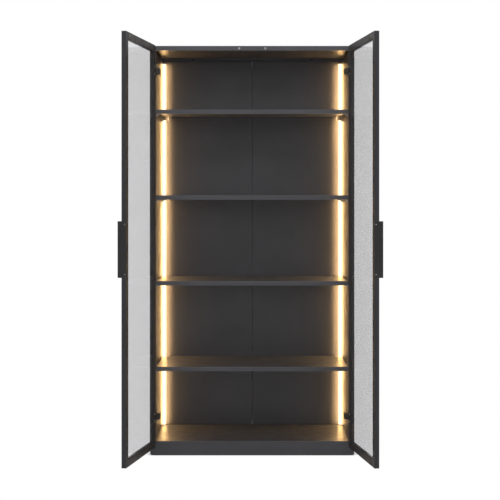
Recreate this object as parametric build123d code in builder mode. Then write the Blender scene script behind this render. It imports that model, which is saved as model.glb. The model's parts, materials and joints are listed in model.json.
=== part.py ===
from build123d import *
import os

# Tall two-door display cabinet in folded sheet steel, with glass doors and lit rear corners.
#
# Millimetres. +X is to the right, +Y to the rear, +Z up. The origin is on the floor, midway between
# the two door hinge axes and in their common plane. Each door is built shut and then swung open about
# its own hinge axis, which is how the cabinet is shown.

# ---- cabinet ----
WIDTH = 800.0
HEIGHT = 1605.0
DEPTH = 378.0
SHEET = 1.0
THIN = 0.8
BEND = 2.0
HINGE_SETBACK = 14.5  # the hinge axes stand this far in front of the cabinet's front plane
FLOOR_TOP = 55.0
TOP_LIP = 18.0
TOP_EDGE = 1.5
SIDE_DEPTH = 20.0  # thickness of a hollow side wall
FRONT_LIP = 22.0
LIP_RETURN = 12.0
LINER_REVEAL = 4.0  # shadow gap above and below a side liner
LINER_FRONT_GAP = 0.2
FIT_GAP = 0.2
HOLE_GAP = 0.1  # radial room round a screw or an insert

# ---- feet ----
GLIDE_HEIGHT = 4.0
GLIDE_INSET = 13.0
GLIDE_FLAT_RADIUS = 6.0
GLIDE_RADIUS = 9.5
GLIDE_STEM_RADIUS = 3.0
GLIDE_TIP_RADIUS = 2.2
GLIDE_SHOULDER = 13.0
GLIDE_TOP = 16.0

# ---- back ----
BACK_RECESS = 12.0  # the back panels' faces lie this far inside the rear plane
BACK_SIDE_GAP = 0.2
SEAM_GAP = 0.1
SEAM_CLIP_DEPTH = 7.0
SEAM_CLIP_INSET = 20.0

# ---- shelves and clips ----
SHELF_PITCH = 336.5
LOWEST_SHELF = 346.0
SHELF_WIDTH = 752.0
SHELF_LIP = 17.0
SHELF_REAR_LIP = 12.0
SHELF_SETBACK = 4.0
SHELF_REAR_GAP = 2.0
SHELF_NOTCH_X = 22.0
SHELF_NOTCH_Y = 20.0
CLIP_WIDTH = 10.0
CLIP_SHEET = 1.5
CLIP_RISE = 8.5
CLIP_DROP = 9.0
CLIP_LEDGE = 11.0
CLIP_HOOK_DEPTH = 2.5
CLIP_HOOK_LOW = 2.0
CLIP_HOOK_HIGH = 1.0
CLIP_HOOK_HALF = 1.6
SLOT_PITCH = 25.0
SLOT_HEIGHT = 8.0
SLOT_WIDTH = 4.0

# ---- light bars, leads and inlet ----
LIGHT_SIZE = 16.0
LIGHT_BOTTOM = 58.0
LIGHT_TOP = 1576.0
LIGHT_WALL = 1.2
LIGHT_SEAT = 9.0
COVER_WALL = 1.0
CAP_THICKNESS = 2.0
STRIP_HALF = 4.0
STRIP_THICKNESS = 0.8
STRIP_END_GAP = 6.0
EMITTER_PITCH = 33.0
EMITTER_LENGTH = 3.5
EMITTER_WIDTH = 2.8
EMITTER_HEIGHT = 0.7
CORE_OFFSET = 2.6  # bore in the light section for its end cap's screw
CORE_RADIUS = 1.2
LEAD_RADIUS = 1.8
LEAD_BEND = 15.0
LEAD_SHIFT = 2.0  # a lead leaves its light bar this far from the bar's middle, towards the corner
LEAD_HOLE_GAP = 2.0
INLET_Z = 30.0
INLET_RADIUS = 5.5
INLET_BORE = 2.75
INLET_BODY = 22.0
INLET_BORE_DEPTH = 10.0
INLET_CONTACT_RADIUS = 1.0
INLET_NUT_RADIUS = 8.0
INLET_NUT_HEIGHT = 2.5

# ---- wall fixings and magnets ----
FIX_X = 250.0
FIX_RADIUS = 2.75
FIX_PLATE_HALF = 22.0
FIX_PLATE_THICKNESS = 3.0
FIX_PLATE_LOW = 7.5
FIX_PLATE_HIGH = 7.0
FIX_PLATE_CORNER = 1.5
MAGNET_X = 51.0
MAGNET_Z = 1595.0
MAGNET_RADIUS = 4.0
MAGNET_PROUD = 1.6
MAGNET_DEPTH = 10.0
MAGNET_COLLAR = 2.0
MAGNET_EDGE = 0.5
STRIKE_RADIUS = 5.6

# ---- doors ----
DOOR_BOTTOM = 32.0
DOOR_TOP = 1606.0
DOOR_THICKNESS = 18.0
DOOR_GAP = 2.0  # between a shut door's back and the cabinet's front plane
DOOR_REVEAL = 1.0  # a shut door's outer edge lies this far inside the cabinet's side
DOOR_FREE_EDGE = 2.0  # a shut door's free edge lies this far from the centre line
FRAME_WIDTH = 27.0
FRAME_WALL = 1.3
FRAME_CORNER = 1.0
CHANNEL_DEPTH = 10.0
CHANNEL_WIDTH = 6.0
CHANNEL_LIP = 1.5  # back wall of the glass channel
GLASS_THICKNESS = 4.0
GLASS_EDGE = 9.0  # how far the glass reaches into the frame
SEAL_PROUD = 0.8
KEY_LEG = 42.0
KEY_NOSE = 3.0  # a corner key's outer corner is cut off by this much
OPEN_LEFT = 100.7
OPEN_RIGHT = 98.7

# ---- hinges ----
HINGE_X = -392.5
HINGE_Y = 0.0
HINGE_HEIGHTS = [150.0, 1507.0]
PIN_RADIUS = 1.8
PIN_CLEARANCE = 0.06
EYE_RADIUS = 3.6
EYE_ROOM = 0.6
EAR_THICKNESS = 1.0
EAR_GAP = 0.2
ARM_HALF_HEIGHT = 8.0
ARM_GAP = 0.2  # between a shut door's back and the hinge's strap
STRAP_THICKNESS = 1.4
NECK_THICKNESS = 3.0
NECK_INNER_X = -373.5  # inner face of the neck, which passes the cabinet's front lip
NECK_OVERLAP = 6.0
BODY_REACH = 17.0
BODY_HALF_HEIGHT = 12.0
BODY_ROUND = 4.0
BODY_SETBACK = 4.0  # an arm's body ends this far before its plate's rear edge
PLATE_THICKNESS = 2.5
PLATE_SETBACK = 2.0  # between the front lip's return and a hinge plate
PLATE_LENGTH = 44.0
PLATE_HALF_HEIGHT = 20.0
PLATE_CORNER = 5.0
PLATE_SCREW_RADIUS = 1.6
PLATE_SCREW_OFFSET = 16.0
TAB_HALF = 20.0
TAB_SHEET = 1.0
TAB_WIDTH = 18.0
TAB_OUTER_GAP = 3.0
TAB_CORNER = 2.0
CUP_SCREW_OFFSET = 14.0
CUP_SCREW_INSET = 12.0

# ---- handle ----
HANDLE_LENGTH = 204.0
HANDLE_REACH = 15.0
HANDLE_RETURN = 14.0
HANDLE_SHEET = 1.2
HANDLE_BEND = 3.5
HANDLE_BACK_GAP = 1.0
HANDLE_SCREW_RADIUS = 1.5
HANDLE_SCREW_LENGTH = 10.0
HANDLE_SCREW_TIP = 1.0
HANDLE_SCREW_END_GAP = 12.0
HANDLE_SCREW_DEPTH = 6.0

# ---- screws ----
FLANGE_SCREW_RADIUS = 2.5
FLANGE_SCREW_INSET = 45.0

# ---- derived places ----
HALF = WIDTH / 2
FRONT = HINGE_SETBACK
REAR = FRONT + DEPTH
INNER_X = HALF - SIDE_DEPTH - SHEET  # inner face of a side liner
TOP_BOTTOM = HEIGHT - TOP_LIP
BACK_Y = REAR - BACK_RECESS
SHELF_TOPS = [LOWEST_SHELF + step * SHELF_PITCH for step in range(4)]
SHELF_HALF = SHELF_WIDTH / 2
SHELF_FRONT = FRONT + SHELF_SETBACK
SHELF_REAR = BACK_Y - SHELF_REAR_GAP
CLIP_YS = (FRONT + 37.0, FRONT + 320.0)
HOOK_Z = SHELF_LIP / 2  # a clip's hook sits this far below the shelf's top
SLOT_LEVELS = [top - HOOK_Z + step * SLOT_PITCH for top in SHELF_TOPS for step in (-1, 0, 1)]
FIX_Z = HEIGHT - TOP_LIP / 2
FIX_PLACES = [(-FIX_X, FIX_Z), (FIX_X, FIX_Z)]
MAGNET_PLACES = [(-MAGNET_X, MAGNET_Z), (MAGNET_X, MAGNET_Z)]
LEAD_X = INNER_X - LIGHT_SIZE / 2 + LEAD_SHIFT
LEAD_Y = BACK_Y - LIGHT_SIZE / 2 + LEAD_SHIFT
GLIDE_PLACES = [
    (x, y)
    for x in (-HALF + GLIDE_INSET, HALF - GLIDE_INSET)
    for y in (FRONT + GLIDE_INSET, REAR - GLIDE_INSET)
]
FLANGE_SCREW_PLACES = [
    (x, y)
    for x in (-HALF + SIDE_DEPTH / 2, HALF - SIDE_DEPTH / 2)
    for y in (FRONT + FLANGE_SCREW_INSET, REAR - FLANGE_SCREW_INSET)
]

DOOR_BACK = FRONT - DOOR_GAP
DOOR_FRONT = DOOR_BACK - DOOR_THICKNESS
DOOR_OUT = -HALF + DOOR_REVEAL
DOOR_IN = -DOOR_FREE_EDGE
DOOR_MIDDLE = (DOOR_BOTTOM + DOOR_TOP) / 2
DOOR_HEIGHT = DOOR_TOP - DOOR_BOTTOM
DOOR_WIDTH = DOOR_IN - DOOR_OUT
CHANNEL_BACK = DOOR_BACK - CHANNEL_LIP
CHANNEL_FRONT = CHANNEL_BACK - CHANNEL_WIDTH
GLASS_FRONT = CHANNEL_FRONT + (CHANNEL_WIDTH - GLASS_THICKNESS) / 2
GLASS_INSET = FRAME_WIDTH - GLASS_EDGE
SEAL_INSET = FRAME_WIDTH - CHANNEL_DEPTH

EAR_INNER = ARM_HALF_HEIGHT + EAR_GAP
EAR_OUTER = EAR_INNER + EAR_THICKNESS
RECESS_HALF = EAR_OUTER + HOLE_GAP
CUP_IN = HINGE_X + EYE_RADIUS + EYE_ROOM + THIN
RECESS_IN = CUP_IN + HOLE_GAP
RECESS_FRONT = DOOR_FRONT + FRAME_WALL
CUP_SCREW_X = DOOR_OUT + CUP_SCREW_INSET
PLATE_FRONT = FRONT + LIP_RETURN + PLATE_SETBACK
PLATE_REAR = PLATE_FRONT + PLATE_LENGTH
PLATE_MIDDLE = (PLATE_FRONT + PLATE_REAR) / 2
PLATE_SCREW_LEVELS = [z + side * PLATE_SCREW_OFFSET for z in HINGE_HEIGHTS for side in (-1, 1)]
HANDLE_EDGE = DOOR_IN + HANDLE_SHEET
HANDLE_SCREW_Y = DOOR_BACK - HANDLE_SCREW_DEPTH
HANDLE_SCREW_PLACES = [
    (HANDLE_SCREW_Y, DOOR_MIDDLE + side * (HANDLE_LENGTH / 2 - HANDLE_SCREW_END_GAP)) for side in (-1, 1)
]

os.makedirs("parts", exist_ok=True)


def save(label, *pieces):
    """Name one finished piece, or a group of like pieces, and write it to its own file."""
    node = pieces[0] if len(pieces) == 1 else Compound(children=pieces)
    node.label = label
    export_step(node, f"parts/{label}.step")


def save_pair(label, piece):
    """Write a left-hand piece of the cabinet and its mirror image."""
    save(f"{label}_left", piece)
    save(f"{label}_right", mirror(piece, about=Plane.YZ))


def swing(piece, side, angle):
    """Turn a shut door's piece open about its hinge axis; side is -1 for left, 1 for right."""
    x = side * abs(HINGE_X)
    return Pos(x, HINGE_Y) * Rot(0, 0, side * angle) * Pos(-x, -HINGE_Y) * piece


def save_door_pair(label, *pieces):
    """Write a left door's pieces and their mirror images, each swung open by its own door's angle."""
    save(f"door_{label}_left", *[swing(piece, -1, OPEN_LEFT) for piece in pieces])
    mirrored = [mirror(piece, about=Plane.YZ) for piece in pieces]
    save(f"door_{label}_right", *[swing(piece, 1, OPEN_RIGHT) for piece in mirrored])


def both_sides(pieces):
    """The given left-hand pieces together with their mirror images."""
    return pieces + [mirror(piece, about=Plane.YZ) for piece in pieces]


def slab(x0, x1, y0, y1, z0, z1, mode=Mode.ADD):
    """A box between two corners, in the part being built."""
    with Locations(((x0 + x1) / 2, (y0 + y1) / 2, (z0 + z1) / 2)):
        Box(x1 - x0, y1 - y0, z1 - z0, mode=mode)


def screw(head_radius, head_height, shank_radius, shank_length):
    """A domed screw with a cross slot: the seat of its head at z = 0, its shank downward."""
    slot_length = head_radius
    slot_width = head_radius * 0.22
    with BuildPart() as fastener:
        with BuildSketch():
            Circle(head_radius)
        extrude(amount=head_height)
        fillet(fastener.faces().sort_by(Axis.Z)[-1].edges(), head_height * 0.6)
        with BuildSketch():
            Circle(shank_radius)
        extrude(amount=-shank_length)
        with BuildSketch(Plane.XY.offset(head_height)):
            Rectangle(slot_length, slot_width)
            Rectangle(slot_width, slot_length)
        extrude(amount=-head_height / 2, mode=Mode.SUBTRACT)
    return fastener.part


# ---- base: a closed-top plinth, open underneath behind its folded lower edge ----
with BuildPart() as floor_panel:
    slab(-HALF, HALF, FRONT, REAR, GLIDE_HEIGHT, FLOOR_TOP)
    fillet(floor_panel.edges().filter_by(Axis.Z), BEND)
    fillet(floor_panel.faces().sort_by(Axis.Z)[-1].edges(), SHEET)
    slab(-HALF + SHEET, HALF - SHEET, FRONT + SHEET, REAR - SHEET,
         GLIDE_HEIGHT + SHEET, FLOOR_TOP - SHEET, Mode.SUBTRACT)
    slab(-HALF + FRONT_LIP, HALF - FRONT_LIP, FRONT + FRONT_LIP, REAR - FRONT_LIP,
         GLIDE_HEIGHT, GLIDE_HEIGHT + SHEET, Mode.SUBTRACT)
    with BuildSketch(Plane.XY.offset(GLIDE_HEIGHT)):
        with Locations(*GLIDE_PLACES):
            Circle(GLIDE_STEM_RADIUS + HOLE_GAP)
    extrude(amount=SHEET, mode=Mode.SUBTRACT)
    with BuildSketch(Plane.XY.offset(FLOOR_TOP - SHEET)):
        with Locations((-LEAD_X, LEAD_Y), (LEAD_X, LEAD_Y)):
            Circle(LEAD_RADIUS + LEAD_HOLE_GAP)
        with Locations(*FLANGE_SCREW_PLACES):
            Circle(FLANGE_SCREW_RADIUS + HOLE_GAP)
    extrude(amount=SHEET, mode=Mode.SUBTRACT)
    with BuildSketch(Plane.XZ.offset(-REAR)):
        with Locations((0, INLET_Z)):
            Circle(INLET_RADIUS + HOLE_GAP)
    extrude(amount=SHEET, mode=Mode.SUBTRACT)
save("floor_panel", floor_panel.part)

# Each glide is a rounded pad on a push-in stem with a retaining shoulder above the sheet.
with BuildPart() as floor_glide:
    with BuildSketch(Plane.XZ):
        with BuildLine():
            edge_round = GLIDE_RADIUS - GLIDE_FLAT_RADIUS
            Polyline((GLIDE_FLAT_RADIUS, 0), (0, 0), (0, GLIDE_TOP), (GLIDE_TIP_RADIUS, GLIDE_TOP))
            Polyline(
                (GLIDE_TIP_RADIUS, GLIDE_TOP),
                (GLIDE_STEM_RADIUS, GLIDE_SHOULDER),
                (GLIDE_STEM_RADIUS, GLIDE_HEIGHT),
                (GLIDE_RADIUS, GLIDE_HEIGHT),
                (GLIDE_RADIUS, edge_round),
            )
            RadiusArc((GLIDE_FLAT_RADIUS, 0), (GLIDE_RADIUS, edge_round), -edge_round)
        make_face()
    revolve(axis=Axis.Z)
save("floor_glides", *[Pos(x, y) * floor_glide.part for x, y in GLIDE_PLACES])

# ---- side walls: an outer skin with folded edges, and a slotted liner inside it ----
with BuildPart() as side_panel:
    with BuildSketch(Plane.XY.offset(FLOOR_TOP)):
        with BuildLine():
            FilletPolyline(
                (-HALF + SIDE_DEPTH, REAR),
                (-HALF, REAR),
                (-HALF, FRONT),
                (-HALF + FRONT_LIP, FRONT),
                (-HALF + FRONT_LIP, FRONT + LIP_RETURN),
                radius=BEND,
            )
            offset(amount=SHEET, side=Side.LEFT)
        make_face()
    extrude(amount=TOP_BOTTOM - FLOOR_TOP)
    for level in (FLOOR_TOP, TOP_BOTTOM - SHEET):
        slab(-HALF + SHEET, -HALF + SIDE_DEPTH, FRONT + SHEET, REAR - SHEET, level, level + SHEET)
    with BuildSketch(Plane.XY.offset(FLOOR_TOP)):
        with Locations(*FLANGE_SCREW_PLACES[:2]):
            Circle(FLANGE_SCREW_RADIUS + HOLE_GAP)
    extrude(amount=TOP_BOTTOM - FLOOR_TOP, mode=Mode.SUBTRACT)
save_pair("side_panel", side_panel.part)

with BuildPart() as side_liner:
    slab(-INNER_X - SHEET, -INNER_X, FRONT + BEND + LINER_FRONT_GAP, REAR - SHEET,
         FLOOR_TOP + LINER_REVEAL, TOP_BOTTOM - LINER_REVEAL)
    with BuildSketch(Plane.YZ.offset(-INNER_X - SHEET)):
        with Locations(*[(y, z) for y in CLIP_YS for z in SLOT_LEVELS]):
            Rectangle(SLOT_WIDTH, SLOT_HEIGHT)
        with Locations(*[(PLATE_MIDDLE, z) for z in PLATE_SCREW_LEVELS]):
            Circle(PLATE_SCREW_RADIUS + HOLE_GAP)
    extrude(amount=SHEET, mode=Mode.SUBTRACT)
save_pair("side_liner", side_liner.part)

# ---- top ----
with BuildPart() as top_panel:
    slab(-HALF, HALF, FRONT, REAR, TOP_BOTTOM, HEIGHT)
    fillet(top_panel.edges().filter_by(Axis.Z), BEND)
    fillet(top_panel.faces().sort_by(Axis.Z)[-1].edges(), TOP_EDGE)
    slab(-HALF + SHEET, HALF - SHEET, FRONT + SHEET, REAR - SHEET,
         TOP_BOTTOM + SHEET, HEIGHT - SHEET, Mode.SUBTRACT)
    slab(-INNER_X - SHEET, INNER_X + SHEET, FRONT + LIP_RETURN, REAR - SHEET,
         TOP_BOTTOM, TOP_BOTTOM + SHEET, Mode.SUBTRACT)
    with BuildSketch(Plane.XY.offset(TOP_BOTTOM)):
        with Locations(*FLANGE_SCREW_PLACES):
            Circle(FLANGE_SCREW_RADIUS + HOLE_GAP)
    extrude(amount=SHEET, mode=Mode.SUBTRACT)
    with BuildSketch(Plane.XZ.offset(-FRONT - SHEET)):
        with Locations(*MAGNET_PLACES):
            Circle(MAGNET_RADIUS + HOLE_GAP)
    extrude(amount=SHEET, mode=Mode.SUBTRACT)
    with BuildSketch(Plane.XZ.offset(-REAR)):
        with Locations(*FIX_PLACES):
            Circle(FIX_RADIUS)
    extrude(amount=SHEET, mode=Mode.SUBTRACT)
save("top_panel", top_panel.part)

# Thicker plates inside the rear lip take the load of the two wall screws.
with BuildPart() as wall_fixing_plates:
    for x in (-FIX_X, FIX_X):
        slab(x - FIX_PLATE_HALF, x + FIX_PLATE_HALF, REAR - SHEET - FIX_PLATE_THICKNESS, REAR - SHEET,
             FIX_Z - FIX_PLATE_LOW, FIX_Z + FIX_PLATE_HIGH)
    fillet(wall_fixing_plates.edges().filter_by(Axis.Y), FIX_PLATE_CORNER)
    with BuildSketch(Plane.XZ.offset(-REAR)):
        with Locations(*FIX_PLACES):
            Circle(FIX_RADIUS)
    extrude(amount=SHEET + FIX_PLATE_THICKNESS, mode=Mode.SUBTRACT)
save("wall_fixing_plates", wall_fixing_plates.part)

# Magnet catches: a steel-cased magnet through the front lip, with a collar behind it.
with BuildPart() as door_magnets:
    with BuildSketch(Plane.XZ.offset(-FRONT + MAGNET_PROUD)):
        with Locations(*MAGNET_PLACES):
            Circle(MAGNET_RADIUS)
    extrude(amount=-MAGNET_DEPTH)
    with BuildSketch(Plane.XZ.offset(-FRONT - SHEET)):
        with Locations(*MAGNET_PLACES):
            Circle(MAGNET_RADIUS + MAGNET_COLLAR)
    extrude(amount=-MAGNET_COLLAR)
    fillet(door_magnets.faces().sort_by(Axis.Y)[:2].edges(), MAGNET_EDGE)
save("door_magnets", door_magnets.part)

# ---- back: two trays that meet at a folded seam, held by a clip from behind ----
with BuildPart() as back_panel:
    slab(-INNER_X + BACK_SIDE_GAP, -SEAM_GAP, BACK_Y, REAR - SHEET, FLOOR_TOP, TOP_BOTTOM)
    fillet(back_panel.faces().sort_by(Axis.Y)[0].edges(), BEND)
    slab(-INNER_X + BACK_SIDE_GAP + THIN, -SEAM_GAP - THIN, BACK_Y + THIN, REAR - SHEET,
         FLOOR_TOP + THIN, TOP_BOTTOM - THIN, Mode.SUBTRACT)
save_pair("back_panel", back_panel.part)

with BuildPart() as back_seam_clip:
    clip_low = FLOOR_TOP + SEAM_CLIP_INSET
    clip_high = TOP_BOTTOM - SEAM_CLIP_INSET
    clip_front = REAR - SHEET - SEAM_CLIP_DEPTH
    clip_inner = SEAM_GAP + THIN
    clip_outer = clip_inner + THIN
    slab(-clip_outer, clip_outer, clip_front, REAR - THIN / 2, clip_low, clip_high)
    slab(-clip_inner, clip_inner, clip_front, REAR - SHEET, clip_low, clip_high, Mode.SUBTRACT)
save("back_seam_clip", back_seam_clip.part)


# ---- shelves and their clips ----
def shelf_outline(inset):
    """A shelf's plan, drawn in by inset, with its rear corners cut away for the light bars."""
    half = SHELF_HALF - inset
    front = SHELF_FRONT + inset
    rear = SHELF_REAR - inset
    notch_x = SHELF_HALF - SHELF_NOTCH_X - inset
    notch_y = SHELF_REAR - SHELF_NOTCH_Y - inset
    Polygon(
        (-half, front), (half, front), (half, notch_y), (notch_x, notch_y),
        (notch_x, rear), (-notch_x, rear), (-notch_x, notch_y), (-half, notch_y),
        align=None,
    )


for number, top in enumerate(reversed(SHELF_TOPS), start=1):
    with BuildPart() as shelf:
        with BuildSketch(Plane.XY.offset(top - SHELF_LIP)):
            shelf_outline(0)
        extrude(amount=SHELF_LIP)
        fillet(shelf.faces().sort_by(Axis.Y)[0].edges().filter_by(Axis.X).sort_by(Axis.Z)[-1], BEND)
        fillet(shelf.faces().sort_by(Axis.Y)[0].edges().filter_by(Axis.Z), BEND / 2)
        with BuildSketch(Plane.XY.offset(top - SHELF_LIP)):
            shelf_outline(SHEET)
        extrude(amount=SHELF_LIP - SHEET, mode=Mode.SUBTRACT)
        slab(-SHELF_HALF, SHELF_HALF, SHELF_REAR - SHEET, SHELF_REAR,
             top - SHELF_LIP, top - SHELF_REAR_LIP, Mode.SUBTRACT)
        slab(-SHELF_HALF + SHEET, SHELF_HALF - SHEET, SHELF_FRONT + SHEET, SHELF_FRONT + LIP_RETURN,
             top - SHELF_LIP, top - SHELF_LIP + SHEET)
    save(f"shelf_{number}", shelf.part)

# A clip hooks into the liner's slot and carries the shelf's side lip on a bent ledge.
with BuildPart() as clip_maker:
    with BuildSketch(Plane.XZ):
        with BuildLine():
            Polyline(
                (-INNER_X, CLIP_RISE),
                (-INNER_X + CLIP_SHEET, CLIP_RISE),
                (-INNER_X + CLIP_SHEET, -SHELF_LIP),
                (-INNER_X + CLIP_LEDGE, -SHELF_LIP),
                (-INNER_X + CLIP_LEDGE, -SHELF_LIP - CLIP_SHEET),
                (-INNER_X + CLIP_SHEET, -SHELF_LIP - CLIP_DROP),
                (-INNER_X, -SHELF_LIP - CLIP_DROP),
                (-INNER_X, -HOOK_Z - CLIP_HOOK_LOW),
                (-INNER_X - CLIP_HOOK_DEPTH, -HOOK_Z - CLIP_HOOK_LOW),
                (-INNER_X - CLIP_HOOK_DEPTH, -HOOK_Z + CLIP_HOOK_HIGH),
                (-INNER_X, -HOOK_Z + CLIP_HOOK_HIGH),
                close=True,
            )
        make_face()
    extrude(amount=CLIP_WIDTH / 2, both=True)
    for y0, y1 in ((CLIP_HOOK_HALF, CLIP_WIDTH), (-CLIP_WIDTH, -CLIP_HOOK_HALF)):
        slab(-INNER_X - CLIP_HOOK_DEPTH, -INNER_X, y0, y1,
             -HOOK_Z - CLIP_HOOK_LOW, -HOOK_Z + CLIP_HOOK_HIGH, Mode.SUBTRACT)
left_clips = [Pos(0, y, top) * clip_maker.part for top in SHELF_TOPS for y in CLIP_YS]
save("shelf_clips", *both_sides(left_clips))


# ---- light bars in the rear corners: quarter-round aluminium section with an opal cover ----
def corner(p, q):
    """A point p to the right of the rear left corner and q in front of it."""
    return (-INNER_X + p, BACK_Y - q)


LIGHT_LENGTH = LIGHT_TOP - LIGHT_BOTTOM
COVER_INNER = LIGHT_SIZE - COVER_WALL
SECTION_LEG = COVER_INNER - FIT_GAP  # each leg of the section ends just short of the cover

with BuildPart() as light_profile:
    with BuildSketch(Plane.XY.offset(LIGHT_BOTTOM)):
        Polygon(
            corner(0, 0), corner(SECTION_LEG, 0), corner(SECTION_LEG, LIGHT_WALL),
            corner(LIGHT_SEAT, LIGHT_WALL), corner(LIGHT_WALL, LIGHT_SEAT),
            corner(LIGHT_WALL, SECTION_LEG), corner(0, SECTION_LEG),
            align=None,
        )
        with Locations(corner(CORE_OFFSET, CORE_OFFSET)):
            Circle(CORE_RADIUS, mode=Mode.SUBTRACT)
    extrude(amount=LIGHT_LENGTH)
save_pair("light_profile", light_profile.part)

with BuildPart() as light_cover:
    with BuildSketch(Plane.XY.offset(LIGHT_BOTTOM)):
        with BuildLine():
            RadiusArc(corner(LIGHT_SIZE, 0), corner(0, LIGHT_SIZE), LIGHT_SIZE)
            Line(corner(0, LIGHT_SIZE), corner(0, COVER_INNER))
            RadiusArc(corner(0, COVER_INNER), corner(COVER_INNER, 0), -COVER_INNER)
            Line(corner(COVER_INNER, 0), corner(LIGHT_SIZE, 0))
        make_face()
    extrude(amount=LIGHT_LENGTH)
save_pair("light_cover", light_cover.part)

# The light strip: a narrow board on the section's sloping seat, with a row of emitters.
seat_middle = corner((LIGHT_SEAT + LIGHT_WALL) / 2, (LIGHT_SEAT + LIGHT_WALL) / 2)
seat_plane = Plane(
    origin=(seat_middle[0], seat_middle[1], (LIGHT_BOTTOM + LIGHT_TOP) / 2),
    x_dir=(0, 0, 1),
    z_dir=(1, -1, 0),
)
with BuildPart() as light_strip:
    strip_length = LIGHT_LENGTH - 2 * STRIP_END_GAP
    with BuildSketch(seat_plane):
        Rectangle(strip_length, 2 * STRIP_HALF)
    extrude(amount=STRIP_THICKNESS)
    with BuildSketch(seat_plane.offset(STRIP_THICKNESS)):
        with GridLocations(EMITTER_PITCH, 0, int(strip_length / EMITTER_PITCH), 1):
            Rectangle(EMITTER_LENGTH, EMITTER_WIDTH)
    extrude(amount=EMITTER_HEIGHT)
save_pair("light_strip", light_strip.part)

with BuildPart() as light_end_cap:
    for level in (LIGHT_BOTTOM - CAP_THICKNESS, LIGHT_TOP):
        with BuildSketch(Plane.XY.offset(level)):
            with BuildLine():
                RadiusArc(corner(LIGHT_SIZE, 0), corner(0, LIGHT_SIZE), LIGHT_SIZE)
                Polyline(corner(0, LIGHT_SIZE), corner(0, 0), corner(LIGHT_SIZE, 0))
            make_face()
        extrude(amount=CAP_THICKNESS)
save_pair("light_end_caps", light_end_cap.part)

# Each bar's lead drops from its lower cap through the floor and runs to the inlet along the rear rail.
with BuildPart() as light_lead:
    with BuildLine():
        lead_path = FilletPolyline(
            (-LEAD_X, LEAD_Y, LIGHT_BOTTOM - CAP_THICKNESS),
            (-LEAD_X, LEAD_Y, INLET_Z),
            (-INLET_RADIUS, LEAD_Y, INLET_Z),
            radius=LEAD_BEND,
        )
    with BuildSketch(Plane(lead_path @ 0, z_dir=lead_path % 0)):
        Circle(LEAD_RADIUS)
    sweep()
save_pair("light_lead", light_lead.part)

# The inlet: a threaded socket through the rear wall, with a centre contact and a nut inside.
with BuildPart() as power_inlet:
    with BuildSketch(Plane.XZ.offset(-REAR)):
        with Locations((0, INLET_Z)):
            Circle(INLET_RADIUS)
    extrude(amount=INLET_BODY)
    with BuildSketch(Plane.XZ.offset(-REAR)):
        with Locations((0, INLET_Z)):
            Circle(INLET_BORE)
            Circle(INLET_CONTACT_RADIUS, mode=Mode.SUBTRACT)
    extrude(amount=INLET_BORE_DEPTH, mode=Mode.SUBTRACT)
    with BuildSketch(Plane.XZ.offset(-REAR + SHEET)):
        with Locations((0, INLET_Z)):
            RegularPolygon(INLET_NUT_RADIUS, 6)
    extrude(amount=INLET_NUT_HEIGHT)
save("power_inlet", power_inlet.part)

# ---- hinges, cabinet side: a plate on the liner and an arm whose strap lies before the front lip ----
ARM_OUT = -INNER_X + PLATE_THICKNESS
STRAP_FRONT = DOOR_BACK + ARM_GAP
BODY_IN = -INNER_X + BODY_REACH
BODY_REAR = PLATE_REAR - BODY_SETBACK

with BuildPart() as hinge_plate:
    slab(-INNER_X, ARM_OUT, PLATE_FRONT, PLATE_REAR, -PLATE_HALF_HEIGHT, PLATE_HALF_HEIGHT)
    fillet(hinge_plate.edges().filter_by(Axis.X), PLATE_CORNER)
    with BuildSketch(Plane.YZ.offset(-INNER_X)):
        with Locations((PLATE_MIDDLE, -PLATE_SCREW_OFFSET), (PLATE_MIDDLE, PLATE_SCREW_OFFSET)):
            Circle(PLATE_SCREW_RADIUS + HOLE_GAP)
    extrude(amount=PLATE_THICKNESS, mode=Mode.SUBTRACT)

with BuildPart() as hinge_arm:
    slab(ARM_OUT, BODY_IN, PLATE_FRONT, BODY_REAR, -BODY_HALF_HEIGHT, BODY_HALF_HEIGHT)
    fillet(hinge_arm.faces().sort_by(Axis.X)[-1].edges(), BODY_ROUND)
    slab(NECK_INNER_X - NECK_THICKNESS, NECK_INNER_X, STRAP_FRONT, PLATE_FRONT + NECK_OVERLAP,
         -ARM_HALF_HEIGHT, ARM_HALF_HEIGHT)
    slab(HINGE_X, NECK_INNER_X, STRAP_FRONT, STRAP_FRONT + STRAP_THICKNESS, -ARM_HALF_HEIGHT, ARM_HALF_HEIGHT)
    slab(HINGE_X, HINGE_X + EYE_RADIUS, HINGE_Y, STRAP_FRONT, -ARM_HALF_HEIGHT, ARM_HALF_HEIGHT)
    with BuildSketch(Plane.XY.offset(-ARM_HALF_HEIGHT)):
        with Locations((HINGE_X, HINGE_Y)):
            Circle(EYE_RADIUS)
    extrude(amount=2 * ARM_HALF_HEIGHT)
    with BuildSketch(Plane.XY.offset(-ARM_HALF_HEIGHT)):
        with Locations((HINGE_X, HINGE_Y)):
            Circle(PIN_RADIUS + PIN_CLEARANCE)
    extrude(amount=2 * ARM_HALF_HEIGHT, mode=Mode.SUBTRACT)

plate_screw = screw(head_radius=3.0, head_height=1.4, shank_radius=PLATE_SCREW_RADIUS, shank_length=6.0)
plates = [Pos(0, 0, z) * hinge_plate.part for z in HINGE_HEIGHTS]
arms = [Pos(0, 0, z) * hinge_arm.part for z in HINGE_HEIGHTS]
plate_screws = [Pos(ARM_OUT, PLATE_MIDDLE, z) * Rot(0, 90, 0) * plate_screw for z in PLATE_SCREW_LEVELS]
save("hinge_plates", *both_sides(plates))
save("hinge_arms", *both_sides(arms))
save("hinge_plate_screws", *both_sides(plate_screws))

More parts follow.
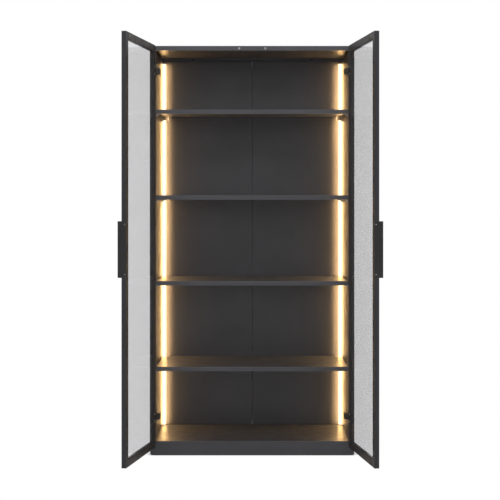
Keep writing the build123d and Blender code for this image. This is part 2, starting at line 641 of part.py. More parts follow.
# ---- assembly screws through the sides' end flanges into the base and the top ----
flange_screw = screw(head_radius=4.5, head_height=2.2, shank_radius=FLANGE_SCREW_RADIUS, shank_length=10.0)
base_screws = [Pos(x, y, FLOOR_TOP - SHEET) * Rot(180, 0, 0) * flange_screw for x, y in FLANGE_SCREW_PLACES]
top_screws = [Pos(x, y, TOP_BOTTOM + SHEET) * flange_screw for x, y in FLANGE_SCREW_PLACES]
save("assembly_screws", *(base_screws + top_screws))


# ---- doors ----
def frame_section():
    """The frame section: outer edge at x = 0, front face at y = 0, glass channel open at the inner edge."""
    channel_start = FRAME_WIDTH - CHANNEL_DEPTH
    channel_front = DOOR_THICKNESS - CHANNEL_LIP - CHANNEL_WIDTH
    with Locations((FRAME_WIDTH / 2, DOOR_THICKNESS / 2)):
        RectangleRounded(FRAME_WIDTH, DOOR_THICKNESS, FRAME_CORNER)
    with Locations((FRAME_WIDTH - CHANNEL_DEPTH / 2, channel_front + CHANNEL_WIDTH / 2)):
        Rectangle(CHANNEL_DEPTH, CHANNEL_WIDTH, mode=Mode.SUBTRACT)
    with Locations((channel_start / 2, DOOR_THICKNESS / 2)):
        Rectangle(channel_start - 2 * FRAME_WALL, DOOR_THICKNESS - 2 * FRAME_WALL, mode=Mode.SUBTRACT)
    chamber_width = CHANNEL_DEPTH - FRAME_WALL
    chamber_height = channel_front - 2 * FRAME_WALL
    with Locations((channel_start + chamber_width / 2, channel_front / 2)):
        Rectangle(chamber_width, chamber_height, mode=Mode.SUBTRACT)


def frame_bar(length):
    """An upright bar of the door frame, outer edge at x = 0, with both ends mitred short on the glass side."""
    beyond = FRAME_WIDTH + 1
    with BuildPart() as bar:
        with BuildSketch():
            frame_section()
        extrude(amount=length)
        with BuildSketch(Plane.XZ):
            Polygon((0, 0), (beyond, 0), (beyond, beyond), align=None)
            Polygon((0, length), (beyond, length), (beyond, length - beyond), align=None)
        extrude(amount=-DOOR_THICKNESS, mode=Mode.SUBTRACT)
    return bar.part


stile = frame_bar(DOOR_HEIGHT)
rail = frame_bar(DOOR_WIDTH)
outer_stile = Pos(DOOR_OUT, DOOR_FRONT, DOOR_BOTTOM) * stile
inner_stile = Pos(DOOR_IN, 0, 0) * mirror(Pos(0, DOOR_FRONT, DOOR_BOTTOM) * stile, about=Plane.YZ)
bottom_rail = Pos(DOOR_OUT, DOOR_FRONT, DOOR_BOTTOM) * mirror(Rot(0, 90, 0) * rail, about=Plane.XY)
top_rail = Pos(DOOR_OUT, DOOR_FRONT, DOOR_TOP) * (Rot(0, 90, 0) * rail)

# The hinge stile's outer edge is open round the hinge axis at each hinge height.
with BuildPart() as hinge_stile:
    add(outer_stile)
    for z in HINGE_HEIGHTS:
        slab(DOOR_OUT, RECESS_IN, RECESS_FRONT, DOOR_BACK, z - RECESS_HALF, z + RECESS_HALF, Mode.SUBTRACT)
    with BuildSketch(Plane.XZ.offset(-DOOR_BACK)):
        for z in HINGE_HEIGHTS:
            with Locations((CUP_SCREW_X, z - CUP_SCREW_OFFSET), (CUP_SCREW_X, z + CUP_SCREW_OFFSET)):
                Circle(PLATE_SCREW_RADIUS + HOLE_GAP)
    extrude(amount=FRAME_WALL, mode=Mode.SUBTRACT)
save_door_pair("hinge_stile", hinge_stile.part)

# The handle is screwed through the free edge.
with BuildPart() as free_stile:
    add(inner_stile)
    with BuildSketch(Plane.YZ.offset(DOOR_IN)):
        with Locations(*HANDLE_SCREW_PLACES):
            Circle(HANDLE_SCREW_RADIUS + HOLE_GAP)
    extrude(amount=-FRAME_WALL, mode=Mode.SUBTRACT)
save_door_pair("free_stile", free_stile.part)

# A steel disc in the top rail meets the magnet.
with BuildPart() as upper_rail:
    add(top_rail)
    with BuildSketch(Plane.XZ.offset(-DOOR_BACK)):
        with Locations((-MAGNET_X, MAGNET_Z)):
            Circle(STRIKE_RADIUS + HOLE_GAP)
    extrude(amount=FRAME_WALL, mode=Mode.SUBTRACT)
save_door_pair("top_rail", upper_rail.part)
save_door_pair("bottom_rail", bottom_rail)

with BuildPart() as strike:
    with BuildSketch(Plane.XZ.offset(-DOOR_BACK)):
        with Locations((-MAGNET_X, MAGNET_Z)):
            Circle(STRIKE_RADIUS)
    extrude(amount=FRAME_WALL)
save_door_pair("strike_plate", strike.part)

# Corner keys: right-angled blocks inside the frame's outer chamber.
key_low = FRAME_WALL + FIT_GAP
key_high = SEAL_INSET - FRAME_WALL - FIT_GAP
with BuildPart() as key_maker:
    with BuildSketch(Plane.XZ):
        Polygon(
            (key_low + KEY_NOSE, key_low), (KEY_LEG, key_low), (KEY_LEG, key_high), (key_high, key_high),
            (key_high, KEY_LEG), (key_low, KEY_LEG), (key_low, key_low + KEY_NOSE),
            align=None,
        )
        with Locations((key_high, key_high)):
            Circle(KEY_NOSE / 2, mode=Mode.SUBTRACT)
    extrude(amount=-(DOOR_THICKNESS - 2 * key_low))
key = Pos(0, DOOR_FRONT + key_low, 0) * key_maker.part
key_mirrored = mirror(key, about=Plane.YZ)
corner_keys = [
    Pos(DOOR_OUT, 0, DOOR_BOTTOM) * key,
    Pos(DOOR_IN, 0, DOOR_BOTTOM) * key_mirrored,
    Pos(DOOR_OUT, 0, DOOR_TOP) * mirror(key, about=Plane.XY),
    Pos(DOOR_IN, 0, DOOR_TOP) * mirror(key_mirrored, about=Plane.XY),
]
save_door_pair("corner_keys", *corner_keys)


# The pane sits in a one-piece seal that fills the frame's channel.
def door_block(inset, front, back, mode=Mode.ADD):
    """A block of the door's outline drawn in by inset, between two depths."""
    slab(DOOR_OUT + inset, DOOR_IN - inset, front, back, DOOR_BOTTOM + inset, DOOR_TOP - inset, mode)


with BuildPart() as glass:
    door_block(GLASS_INSET, GLASS_FRONT, GLASS_FRONT + GLASS_THICKNESS)
save_door_pair("glass", glass.part)

with BuildPart() as glass_seal:
    door_block(SEAL_INSET, CHANNEL_FRONT, CHANNEL_BACK)
    door_block(FRAME_WIDTH + SEAL_PROUD, CHANNEL_FRONT, CHANNEL_BACK, Mode.SUBTRACT)
    door_block(GLASS_INSET, GLASS_FRONT, GLASS_FRONT + GLASS_THICKNESS, Mode.SUBTRACT)
save_door_pair("glass_seal", glass_seal.part)

# Edge pull: a folded strip over the free edge that reaches forward and turns back as a finger grip.
with BuildPart() as handle:
    with BuildSketch(Plane.XY.offset(DOOR_MIDDLE - HANDLE_LENGTH / 2)):
        with BuildLine():
            FilletPolyline(
                (HANDLE_EDGE, DOOR_BACK - HANDLE_BACK_GAP),
                (HANDLE_EDGE, DOOR_FRONT - HANDLE_REACH),
                (HANDLE_EDGE - HANDLE_RETURN, DOOR_FRONT - HANDLE_REACH),
                radius=HANDLE_BEND,
            )
            offset(amount=HANDLE_SHEET, side=Side.RIGHT)
        make_face()
    extrude(amount=HANDLE_LENGTH)
    with BuildSketch(Plane.YZ.offset(DOOR_IN)):
        with Locations(*HANDLE_SCREW_PLACES):
            Circle(HANDLE_SCREW_RADIUS + HOLE_GAP)
    extrude(amount=HANDLE_SHEET, mode=Mode.SUBTRACT)
save_door_pair("handle", handle.part)

with BuildPart() as flush_screw:
    with BuildSketch(Plane.XZ):
        Polygon(
            (0, 0),
            (HANDLE_SCREW_RADIUS, 0),
            (HANDLE_SCREW_RADIUS, HANDLE_SCREW_TIP - HANDLE_SCREW_LENGTH),
            (0, -HANDLE_SCREW_LENGTH),
            align=None,
        )
    revolve(axis=Axis.Z)
handle_screws = [
    Pos(HANDLE_EDGE - FIT_GAP, y, z) * Rot(0, 90, 0) * flush_screw.part for y, z in HANDLE_SCREW_PLACES
]
save_door_pair("handle_screws", *handle_screws)

# ---- hinges, door side: a pressed cup with two screwed tabs, whose two ears hold the pin ----
CUP_OUT = DOOR_OUT + TAB_OUTER_GAP
CUP_FRONT = RECESS_FRONT + HOLE_GAP
TAB_TOP = DOOR_BACK + TAB_SHEET

with BuildPart() as cup:
    slab(CUP_OUT, CUP_OUT + TAB_WIDTH, DOOR_BACK, TAB_TOP, -TAB_HALF, TAB_HALF)
    fillet(cup.edges().filter_by(Axis.Y), TAB_CORNER)
    slab(CUP_OUT, CUP_OUT + TAB_WIDTH, DOOR_BACK, TAB_TOP, -EAR_INNER, EAR_INNER, Mode.SUBTRACT)
    for z in (-EAR_OUTER, EAR_INNER):
        slab(CUP_OUT, CUP_IN, CUP_FRONT, TAB_TOP, z, z + EAR_THICKNESS)
    slab(CUP_IN - THIN, CUP_IN, CUP_FRONT, DOOR_BACK - FIT_GAP, -EAR_OUTER, EAR_OUTER)
    with BuildSketch(Plane.XY.offset(-EAR_OUTER)):
        with Locations((HINGE_X, HINGE_Y)):
            Circle(PIN_RADIUS)
    extrude(amount=2 * EAR_OUTER, mode=Mode.SUBTRACT)
    with BuildSketch(Plane.XZ.offset(-TAB_TOP)):
        with Locations((CUP_SCREW_X, -CUP_SCREW_OFFSET), (CUP_SCREW_X, CUP_SCREW_OFFSET)):
            Circle(PLATE_SCREW_RADIUS + HOLE_GAP)
    extrude(amount=TAB_SHEET, mode=Mode.SUBTRACT)
save_door_pair("hinge_cups", *[Pos(0, 0, z) * cup.part for z in HINGE_HEIGHTS])

with BuildPart() as pin:
    with BuildSketch(Plane.XY.offset(-EAR_OUTER)):
        with Locations((HINGE_X, HINGE_Y)):
            Circle(PIN_RADIUS)
    extrude(amount=2 * EAR_OUTER)
save_door_pair("hinge_pins", *[Pos(0, 0, z) * pin.part for z in HINGE_HEIGHTS])

cup_screw = screw(head_radius=3.2, head_height=0.6, shank_radius=PLATE_SCREW_RADIUS, shank_length=8.0)
cup_screws = [
    Pos(CUP_SCREW_X, TAB_TOP, z + side * CUP_SCREW_OFFSET) * Rot(-90, 0, 0) * cup_screw
    for z in HINGE_HEIGHTS
    for side in (-1, 1)
]
save_door_pair("hinge_cup_screws", *cup_screws)
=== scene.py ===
"""Looks of the two-door lit display cabinet: materials, small fittings, studio and camera."""

import json
import math

import bpy
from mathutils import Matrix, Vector


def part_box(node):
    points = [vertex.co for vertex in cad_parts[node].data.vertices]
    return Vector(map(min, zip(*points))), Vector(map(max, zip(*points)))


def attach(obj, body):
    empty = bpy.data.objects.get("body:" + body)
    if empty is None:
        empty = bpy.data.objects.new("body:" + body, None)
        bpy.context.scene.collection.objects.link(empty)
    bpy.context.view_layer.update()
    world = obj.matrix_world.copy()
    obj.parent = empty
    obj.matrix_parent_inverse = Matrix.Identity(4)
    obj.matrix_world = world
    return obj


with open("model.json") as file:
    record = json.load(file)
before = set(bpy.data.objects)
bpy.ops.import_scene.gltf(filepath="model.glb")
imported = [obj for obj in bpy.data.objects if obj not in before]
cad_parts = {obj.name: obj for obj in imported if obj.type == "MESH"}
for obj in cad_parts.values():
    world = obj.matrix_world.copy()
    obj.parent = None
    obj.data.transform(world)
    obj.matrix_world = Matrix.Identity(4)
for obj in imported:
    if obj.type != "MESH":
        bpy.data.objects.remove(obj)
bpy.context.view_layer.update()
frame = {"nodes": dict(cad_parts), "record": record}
NODES = frame["nodes"]

# ---- camera: level, in front of the centre line, framed by lens shift ----
IMAGE_SIZE = 500
SENSOR_MM = 36.0
CAMERA_DISTANCE = 4.7851  # from the plane of the hinge axes
CAMERA_HEIGHT = 0.9613
FOCAL_PIXELS = 1223.9
CENTRE_X_PIXELS = 2.2  # the cabinet's centre line lies this far right of the image centre
HORIZON_PIXELS = 40.0  # the horizon lies this far above the image centre


def make_camera():
    data = bpy.data.cameras.new("camera")
    data.sensor_width = SENSOR_MM
    data.lens = SENSOR_MM * FOCAL_PIXELS / IMAGE_SIZE
    data.shift_x = -CENTRE_X_PIXELS / IMAGE_SIZE
    data.shift_y = -HORIZON_PIXELS / IMAGE_SIZE
    data.clip_end = 100.0
    camera = bpy.data.objects.new("camera", data)
    camera.location = (0.0, -CAMERA_DISTANCE, CAMERA_HEIGHT)
    camera.rotation_euler = (math.radians(90), 0, 0)
    bpy.context.scene.collection.objects.link(camera)
    bpy.context.scene.camera = camera


# ---- material building ----
PEEL_SIZE = 0.0011  # paint's orange peel, across
FINE_GRAIN = 0.28  # paint's fine grain, as a share of its peel
CLOUD_SIZE = 0.21  # broad changes of tone in paint
MARK_SIZE = 0.045  # handling marks
EDGE_BREAK_SIZE = 0.02  # breaks in the lightened edges: worn paint and painted highlight
EDGE_LIGHTENING = 2.6  # how many times lighter the edges are: worn paint, and a painted highlight on the bends
METAL_CLOUD = 0.012
PLASTIC_CLOUD = 0.02
PANE_WAVE = 0.35
PANE_FILM = 0.12
PANE_CLEAN = (0.955, 0.952, 0.963)
PANE_WIPED = (0.93, 0.928, 0.94)
PANE_SHADOW = (0.93, 0.94, 0.94, 1.0)  # what the pane lets through of a lamp's light
GLASS_IOR = 1.5
PAINT_IOR = 1.5
COVER_BAND = 0.03  # unevenness along a lit cover
COVER_CLEAR = 0.55  # share of a cover's half width that is wholly white
UNLIT_OPAL = (0.12, 0.115, 0.105, 1.0)


class Shader:
    """A node material under construction: small helpers to add nodes and join them."""

    def __init__(self, name):
        self.material = bpy.data.materials.new(name)
        self.material.use_nodes = True
        self.tree = self.material.node_tree
        self.tree.nodes.clear()
        self.output = self.tree.nodes.new("ShaderNodeOutputMaterial")
        self.place = self.tree.nodes.new("ShaderNodeTexCoord").outputs["Object"]

    def add(self, kind, **inputs):
        node = self.tree.nodes.new(kind)
        for key, value in inputs.items():
            self.put(node, key.replace("_", " "), value)
        return node

    def put(self, node, socket, value):
        if isinstance(value, bpy.types.NodeSocket):
            self.tree.links.new(value, node.inputs[socket])
        else:
            node.inputs[socket].default_value = value

    def stretched(self, scale):
        """Object coordinates scaled per axis."""
        mapping = self.add("ShaderNodeMapping", Vector=self.place)
        mapping.inputs["Scale"].default_value = scale
        return mapping.outputs["Vector"]

    def noise(self, size, detail=2.0, roughness=0.5, vector=None):
        """Noise whose features are about size metres across."""
        node = self.add("ShaderNodeTexNoise", Vector=vector or self.place)
        node.inputs["Scale"].default_value = 1.0 / size
        node.inputs["Detail"].default_value = detail
        node.inputs["Roughness"].default_value = roughness
        return node.outputs["Fac"]

    def math(self, operation, first, second=None):
        node = self.tree.nodes.new("ShaderNodeMath")
        node.operation = operation
        self.put(node, 0, first)
        if second is not None:
            self.put(node, 1, second)
        return node.outputs["Value"]

    def edges(self, reach, breakup):
        """1 within reach metres of an edge and 0 on flat faces, broken up unevenly by breakup."""
        rounded = self.tree.nodes.new("ShaderNodeBevel")
        rounded.samples = 4
        rounded.inputs["Radius"].default_value = reach
        flat = self.tree.nodes.new("ShaderNodeNewGeometry")
        turned = self.tree.nodes.new("ShaderNodeVectorMath")
        turned.operation = "DOT_PRODUCT"
        self.tree.links.new(rounded.outputs["Normal"], turned.inputs[0])
        self.tree.links.new(flat.outputs["Normal"], turned.inputs[1])
        near_edge = self.ranged(turned.outputs["Value"], 1.0, 0.0, 0.86, 0.995)
        return self.math("MULTIPLY", near_edge, self.ranged(breakup, 0.45, 1.0))

    def ranged(self, value, low, high, from_low=0.3, from_high=0.7):
        node = self.add("ShaderNodeMapRange", Value=value)
        node.inputs["From Min"].default_value = from_low
        node.inputs["From Max"].default_value = from_high
        node.inputs["To Min"].default_value = low
        node.inputs["To Max"].default_value = high
        return node.outputs["Result"]

    def between(self, factor, first, second):
        """A colour that goes from first to second with factor; either may be another node's colour."""
        node = self.tree.nodes.new("ShaderNodeMix")
        node.data_type = "RGBA"
        self.tree.links.new(factor, node.inputs["Factor"])
        ends = {"A": first, "B": second}
        for socket in node.inputs:
            if socket.type == "RGBA":
                end = ends[socket.name]
                if isinstance(end, bpy.types.NodeSocket):
                    self.tree.links.new(end, socket)
                else:
                    socket.default_value = (*end, 1.0)
        return next(socket for socket in node.outputs if socket.type == "RGBA")

    def summed(self, first, second, weight):
        """first plus weight times second."""
        node = self.tree.nodes.new("ShaderNodeMath")
        node.operation = "MULTIPLY_ADD"
        self.tree.links.new(second, node.inputs[0])
        node.inputs[1].default_value = weight
        self.tree.links.new(first, node.inputs[2])
        return node.outputs["Value"]

    def bump(self, height, strength, distance):
        node = self.add("ShaderNodeBump", Height=height)
        node.inputs["Strength"].default_value = strength
        node.inputs["Distance"].default_value = distance
        return node.outputs["Normal"]

    def finish(self, surface):
        self.tree.links.new(surface, self.output.inputs["Surface"])
        return self.material


def powder_coat(name, colour, roughness, texture=PEEL_SIZE):
    """Powder coat: orange-peel skin, fine grain, cloudy tone, faint handling marks, and lighter edges: paint
    worn thin there, and a painted highlight along the bends.
    """
    s = Shader(name)
    peel = s.noise(texture, detail=2.0)
    grain = s.noise(texture * FINE_GRAIN, detail=1.0)
    height = s.summed(peel, grain, 0.35)
    patches = s.noise(CLOUD_SIZE, detail=3.0)
    marks = s.noise(MARK_SIZE, detail=4.0, roughness=0.62)
    lighter = tuple(min(1.0, c * 1.16 + 0.003) for c in colour)
    darker = tuple(c * 0.88 for c in colour)
    worn_and_highlit_coat = tuple(min(1.0, c * EDGE_LIGHTENING + 0.01) for c in colour)
    tone = s.summed(s.ranged(patches, 0.15, 0.85), s.ranged(grain, -0.5, 0.5), 0.5)
    # the edge mask lightens worn paint and also paints a highlight along the bends
    edge_wear_and_highlight = s.edges(EDGE_REACH, s.noise(EDGE_BREAK_SIZE, detail=3.0))
    bsdf = s.add("ShaderNodeBsdfPrincipled")
    coat = s.between(tone, darker, lighter)
    s.put(bsdf, "Base Color", s.between(edge_wear_and_highlight, coat, worn_and_highlit_coat))
    s.put(bsdf, "Roughness", s.ranged(marks, roughness - 0.05, roughness + 0.07))
    s.put(bsdf, "Normal", s.bump(height, 0.2, 0.0001))
    bsdf.inputs["IOR"].default_value = PAINT_IOR
    return s.finish(bsdf.outputs["BSDF"])


def metal(name, colour, roughness, grain_axis, grain=0.00035, reach=0.03):
    """Plated or anodised metal with a fine directional grain."""
    s = Shader(name)
    scale = [1.0, 1.0, 1.0]
    scale[grain_axis] = grain / reach
    streaks = s.noise(grain, detail=3.0, vector=s.stretched(scale))
    cloud = s.noise(METAL_CLOUD, detail=2.0)
    lighter = tuple(min(1.0, c * 1.08) for c in colour)
    darker = tuple(c * 0.86 for c in colour)
    bsdf = s.add("ShaderNodeBsdfPrincipled")
    s.put(bsdf, "Base Color", s.between(s.ranged(cloud, 0.1, 0.9), darker, lighter))
    s.put(bsdf, "Roughness", s.ranged(streaks, roughness - 0.06, roughness + 0.08))
    s.put(bsdf, "Normal", s.bump(streaks, 0.15, 0.00005))
    bsdf.inputs["Metallic"].default_value = 1.0
    return s.finish(bsdf.outputs["BSDF"])


def moulded(name, colour, roughness, texture=0.0006):
    """Moulded plastic or rubber with a spark-eroded grain."""
    s = Shader(name)
    grain = s.noise(texture, detail=2.0)
    cloud = s.noise(PLASTIC_CLOUD, detail=2.0)
    lighter = tuple(min(1.0, c * 1.12 + 0.002) for c in colour)
    darker = tuple(c * 0.9 for c in colour)
    bsdf = s.add("ShaderNodeBsdfPrincipled")
    s.put(bsdf, "Base Color", s.between(s.ranged(cloud, 0.1, 0.9), darker, lighter))
    s.put(bsdf, "Roughness", s.ranged(grain, roughness - 0.05, roughness + 0.05))
    s.put(bsdf, "Normal", s.bump(grain, 0.25, 0.00008))
    return s.finish(bsdf.outputs["BSDF"])


def clear_glass(name):
    """Toughened glass pane with faint wipe marks, which lets light from lamps through unbent."""
    s = Shader(name)
    wave = s.noise(PANE_WAVE, detail=1.0)
    film = s.noise(PANE_FILM, detail=4.0, roughness=0.6)
    pane = s.add("ShaderNodeBsdfPrincipled")
    s.put(pane, "Base Color", s.between(s.ranged(film, 0.0, 1.0), PANE_CLEAN, PANE_WIPED))
    s.put(pane, "Roughness", s.ranged(film, 0.0, 0.02))
    s.put(pane, "Normal", s.bump(wave, 0.04, 0.0001))
    pane.inputs["IOR"].default_value = GLASS_IOR
    pane.inputs["Transmission Weight"].default_value = 1.0
    clear = s.add("ShaderNodeBsdfTransparent")
    clear.inputs["Color"].default_value = PANE_SHADOW
    rays = s.add("ShaderNodeLightPath")
    mix = s.add("ShaderNodeMixShader")
    s.tree.links.new(rays.outputs["Is Shadow Ray"], mix.inputs["Fac"])
    s.tree.links.new(pane.outputs["BSDF"], mix.inputs[1])
    s.tree.links.new(clear.outputs["BSDF"], mix.inputs[2])
    return s.finish(mix.outputs["Shader"])


def lit_opal(name):
    """Opal cover of a lit bar: seen as white with cream edges, and lighting what is round it warmly."""
    s = Shader(name)
    bands = s.noise(COVER_BAND, detail=1.0)
    split = s.add("ShaderNodeSeparateXYZ", Vector=s.place)
    from_centre = s.math("ABSOLUTE", split.outputs["X"])
    from_middle = s.math("ABSOLUTE", s.math("SUBTRACT", from_centre, COVER_MIDDLE_X))
    towards_edge = s.ranged(from_middle, 0.0, 1.0, COVER_HALF_WIDTH * COVER_CLEAR, COVER_HALF_WIDTH)
    seen_glow = s.between(towards_edge, GLOW_MIDDLE, GLOW_EDGE)
    rays = s.add("ShaderNodeLightPath")
    seen = s.math("MAXIMUM", rays.outputs["Is Camera Ray"], rays.outputs["Is Transmission Ray"])
    lighting = s.ranged(bands, GLOW_LIGHTING * 0.96, GLOW_LIGHTING * 1.04)
    dimmed = s.ranged(rays.outputs["Is Glossy Ray"], 1.0, GLOW_REFLECTED / GLOW_LIGHTING, 0.0, 1.0)
    thrown = s.math("MULTIPLY", s.math("MULTIPLY", lighting, dimmed), s.math("SUBTRACT", 1.0, seen))
    bsdf = s.add("ShaderNodeBsdfPrincipled")
    bsdf.inputs["Base Color"].default_value = UNLIT_OPAL
    bsdf.inputs["Roughness"].default_value = 0.45
    s.put(bsdf, "Emission Color", s.between(seen, WARM_WHITE, seen_glow))
    s.put(bsdf, "Emission Strength", s.math("ADD", thrown, seen))
    return s.finish(bsdf.outputs["BSDF"])


# ---- looks of each slot ----
CHARCOAL = (0.056, 0.056, 0.0635)
FRAME_CHARCOAL = (0.0205, 0.021, 0.0245)
HANDLE_BLACK = (0.014, 0.014, 0.015)
EDGE_REACH = 0.002  # how far along folded and cut edges the paint is lightened: thinned by wear, and a painted highlight on the bends
COVER_LOW, COVER_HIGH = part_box("light_cover_right")
COVER_MIDDLE_X = (COVER_LOW.x + COVER_HIGH.x) / 2  # from the centre plane to a light cover's middle
COVER_HALF_WIDTH = (COVER_HIGH.x - COVER_LOW.x) / 2
GLOW_EDGE = (0.92, 0.76, 0.44)  # as the covers are seen
GLOW_MIDDLE = (1.0, 1.0, 0.86)
WARM_WHITE = (1.0, 0.60, 0.24)  # as they light what is round them
GLOW_LIGHTING = 46.0
GLOW_REFLECTED = 7.0


def make_looks():
    return {
        "cabinet_steel": powder_coat("cabinet_steel", CHARCOAL, 0.34, texture=0.0008),
        "door_frame": powder_coat("door_frame", FRAME_CHARCOAL, 0.42),
        "handle_metal": powder_coat("handle_metal", HANDLE_BLACK, 0.36),
        "door_glass": clear_glass("door_glass"),
        "seal_rubber": moulded("seal_rubber", (0.02, 0.02, 0.021), 0.6),
        # the plated steel is darkened and warmed: a painted reflection of the dark, warm inside of the
        # cabinet
        "hinge_steel": metal("hinge_steel", (0.085, 0.075, 0.07), 0.38, 2),
        "screw_steel": metal("screw_steel", (0.93, 0.93, 0.92), 0.42, 0, reach=0.002),
        "clip_steel": metal("clip_steel", (0.6, 0.58, 0.55), 0.3, 2),
        "zinc_steel": metal("zinc_steel", (0.32, 0.325, 0.335), 0.5, 2),
        "strike_steel": metal("strike_steel", (0.3, 0.3, 0.3), 0.3, 2),
        "magnet_steel": metal("magnet_steel", (0.4, 0.4, 0.41), 0.34, 1, reach=0.004),
        "key_aluminium": metal("key_aluminium", (0.7, 0.7, 0.71), 0.4, 2),
        "light_aluminium": metal("light_aluminium", (0.78, 0.77, 0.75), 0.35, 2),
        "light_opal": lit_opal("light_opal"),
        "light_board": moulded("light_board", (0.75, 0.73, 0.68), 0.5),
        "cap_plastic": moulded("cap_plastic", (0.32, 0.31, 0.3), 0.5),
        "lead_jacket": moulded("lead_jacket", (0.02, 0.02, 0.02), 0.5),
        "inlet_plastic": moulded("inlet_plastic", (0.02, 0.02, 0.021), 0.45),
        "glide_plastic": moulded("glide_plastic", (0.015, 0.015, 0.016), 0.5),
    }


def dress_cad(looks):
    """Give every CAD node the look of its material slot in the record."""
    for part in frame["record"]["subparts"]:
        node = NODES[part["node"]]
        node.data.materials.clear()
        node.data.materials.append(looks[part["material_slot"]])


# ---- small fittings ----
CAP_SEGMENTS = 28
CAP_HEAD_RADIUS = 0.0044
CAP_STEM_RADIUS = 0.0026
CAP_STEM_LENGTH = 0.003
CAP_DOME = 0.0013
CAP_RIM = 0.0005
CAP_TAPER = 0.9
CAP_DOME_TURNS = (0.0, 0.35, 0.7, 1.05, 1.35, math.pi / 2)  # from the dome's crown to its rim


def turned_mesh(name, profile):
    """A mesh turned about the Y axis from (radius, y) points; its first and last points lie on the axis."""
    rings = profile[1:-1]
    points = [(0, profile[0][1], 0)]
    for radius, y in rings:
        for step in range(CAP_SEGMENTS):
            angle = 2 * math.pi * step / CAP_SEGMENTS
            points.append((radius * math.cos(angle), y, radius * math.sin(angle)))
    points.append((0, profile[-1][1], 0))
    last = len(points) - 1
    final_ring = 1 + (len(rings) - 1) * CAP_SEGMENTS
    faces = []
    for step in range(CAP_SEGMENTS):
        after = (step + 1) % CAP_SEGMENTS
        faces.append((0, 1 + step, 1 + after))
        faces.append((last, final_ring + after, final_ring + step))
        for ring in range(len(rings) - 1):
            low = 1 + ring * CAP_SEGMENTS
            high = low + CAP_SEGMENTS
            faces.append((low + step, high + step, high + after, low + after))
    mesh = bpy.data.meshes.new(name)
    mesh.from_pydata(points, [], faces)
    for polygon in mesh.polygons:
        polygon.use_smooth = True
    return mesh


def add_fixing_caps(look):
    """Domed push-in caps that close the two wall screw holes until they are used."""
    dome = [
        (CAP_HEAD_RADIUS * math.sin(turn), -CAP_RIM - CAP_DOME * math.cos(turn))
        for turn in CAP_DOME_TURNS
    ]
    stem = [
        (CAP_HEAD_RADIUS, 0.0),
        (CAP_STEM_RADIUS, 0.0),
        (CAP_STEM_RADIUS * CAP_TAPER, CAP_STEM_LENGTH),
        (0, CAP_STEM_LENGTH),
    ]
    mesh = turned_mesh("fixing_cap", dome + stem)
    mesh.materials.append(look)
    holes = next(mount for mount in frame["record"]["mounts"] if mount["name"] == "wall_fixings")
    hole_x = holes["dims"]["spacing_x_mm"] / 2000
    plate_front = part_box("wall_fixing_plates")[0].y
    for number, side in enumerate((-1, 1), start=1):
        cap = bpy.data.objects.new(f"fixing_cap_{number}", mesh.copy())
        cap.location = (side * hole_x, plate_front, holes["pos_m"][2])
        bpy.context.scene.collection.objects.link(cap)
        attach(cap, "cabinet")


# ---- studio ----
ROOM_LIGHT = 0.52  # what the studio's walls give the object, beside the white backdrop's 1
BACKDROP = (1.0, 1.0, 1.0, 1.0)
FLOOR_REACH = 30.0
FLOOR_SHADE_REACH = 0.03
FLOOR_TONES = ((0.80, 0.80, 0.80), (0.83, 0.83, 0.83))
ROOM_TINT = (0.98, 0.99, 1.0, 1.0)
KEY_PLACE = (0.0, -2.6, 3.0)
KEY_AIM = (0.0, 0.0, 1.4)
KEY_SIZE = (3.0, 1.2)
KEY_POWER = 26.0
FILL_PLACE = (0.0, -4.6, 1.4)
FILL_AIM = (0.0, 0.0, 0.9)
FILL_SIZE = (2.4, 2.4)
FILL_POWER = 33.0
GLOW_MIDDLE_Z = (COVER_LOW.z + COVER_HIGH.z) / 2
GLOW_STANDOFF = 0.038
GLOW_SIZE = (0.006, 1.50)
GLOW_POWER = 1.8
GLOW_COLOUR = (1.0, 0.60, 0.25)


def shown_or_lighting(tree, shown, lighting):
    """A mix of two shaders: one for what is seen, directly or straight through glass, one for what lights."""

    def math_node(operation, first, second):
        node = tree.nodes.new("ShaderNodeMath")
        node.operation = operation
        tree.links.new(first, node.inputs[0])
        if isinstance(second, bpy.types.NodeSocket):
            tree.links.new(second, node.inputs[1])
        else:
            node.inputs[1].default_value = second
        return node.outputs["Value"]

    rays = tree.nodes.new("ShaderNodeLightPath").outputs
    bounces = math_node("ADD", rays["Diffuse Depth"], rays["Glossy Depth"])
    straight = math_node("LESS_THAN", bounces, 0.5)
    through_glass = math_node("MULTIPLY", rays["Is Transmission Ray"], straight)
    seen = math_node("MAXIMUM", rays["Is Camera Ray"], through_glass)
    mix = tree.nodes.new("ShaderNodeMixShader")
    tree.links.new(seen, mix.inputs["Fac"])
    tree.links.new(lighting, mix.inputs[1])
    tree.links.new(shown, mix.inputs[2])
    return mix.outputs["Shader"]


def make_world():
    world = bpy.data.worlds.new("studio")
    world.use_nodes = True
    tree = world.node_tree
    tree.nodes.clear()
    backdrop = tree.nodes.new("ShaderNodeBackground")
    backdrop.inputs["Color"].default_value = BACKDROP
    room = tree.nodes.new("ShaderNodeBackground")
    room.inputs["Color"].default_value = ROOM_TINT
    room.inputs["Strength"].default_value = ROOM_LIGHT
    output = tree.nodes.new("ShaderNodeOutputWorld")
    surface = shown_or_lighting(tree, backdrop.outputs["Background"], room.outputs["Background"])
    tree.links.new(surface, output.inputs["Surface"])
    bpy.context.scene.world = world


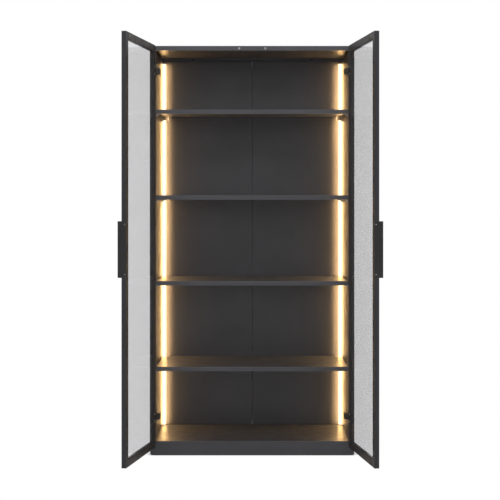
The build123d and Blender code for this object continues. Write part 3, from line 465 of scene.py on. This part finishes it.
def make_floor():
    mesh = bpy.data.meshes.new("studio_floor")
    corners = [(-1, -1), (1, -1), (1, 1), (-1, 1)]
    mesh.from_pydata([(x * FLOOR_REACH, y * FLOOR_REACH, 0) for x, y in corners], [], [(0, 1, 2, 3)])
    floor = bpy.data.objects.new("studio_floor", mesh)
    bpy.context.scene.collection.objects.link(floor)
    s = Shader("studio_floor")
    paper = s.add("ShaderNodeBsdfPrincipled")
    s.put(paper, "Base Color", s.between(s.noise(0.6, detail=3.0), *FLOOR_TONES))
    paper.inputs["Roughness"].default_value = 0.7
    white = s.add("ShaderNodeEmission")
    # painted contact shadow: ambient occlusion dims the floor's white glow under and right round the cabinet
    contact_shadow = s.add("ShaderNodeAmbientOcclusion", Distance=FLOOR_SHADE_REACH)
    s.put(white, "Strength", s.ranged(contact_shadow.outputs["AO"], 0.0, 1.0, 0.2, 0.9))
    surface = shown_or_lighting(s.tree, white.outputs["Emission"], paper.outputs["BSDF"])
    mesh.materials.append(s.finish(surface))


def softbox(name, place, aim, size, power):
    data = bpy.data.lights.new(name, "AREA")
    data.shape = "RECTANGLE"
    data.size, data.size_y = size
    data.energy = power
    lamp = bpy.data.objects.new(name, data)
    lamp.location = place
    lamp.rotation_euler = (Vector(aim) - Vector(place)).to_track_quat("-Z", "Y").to_euler()
    bpy.context.scene.collection.objects.link(lamp)
    return lamp


def corner_glow(side):
    """The warm light that one lit bar throws on the walls round its corner."""
    corner = Vector((side * COVER_HIGH.x, COVER_HIGH.y, GLOW_MIDDLE_Z))
    inward = Vector((-side, -1.0, 0.0)).normalized()
    lamp = softbox(f"corner_glow_{side}", corner + inward * GLOW_STANDOFF, corner, GLOW_SIZE, GLOW_POWER)
    lamp.data.color = GLOW_COLOUR
    lamp.visible_camera = False
    lamp.visible_glossy = False
    lamp.visible_transmission = False


def make_studio():
    bpy.context.scene.view_settings.view_transform = "Standard"
    make_world()
    make_floor()
    softbox("key_light", KEY_PLACE, KEY_AIM, KEY_SIZE, KEY_POWER)
    fill = softbox("fill_light", FILL_PLACE, FILL_AIM, FILL_SIZE, FILL_POWER)
    fill.visible_glossy = False  # its shape would stand in the shut doors' glass
    for side in (-1, 1):
        corner_glow(side)


make_camera()
make_studio()
looks = make_looks()
dress_cad(looks)
add_fixing_caps(looks["glide_plastic"])
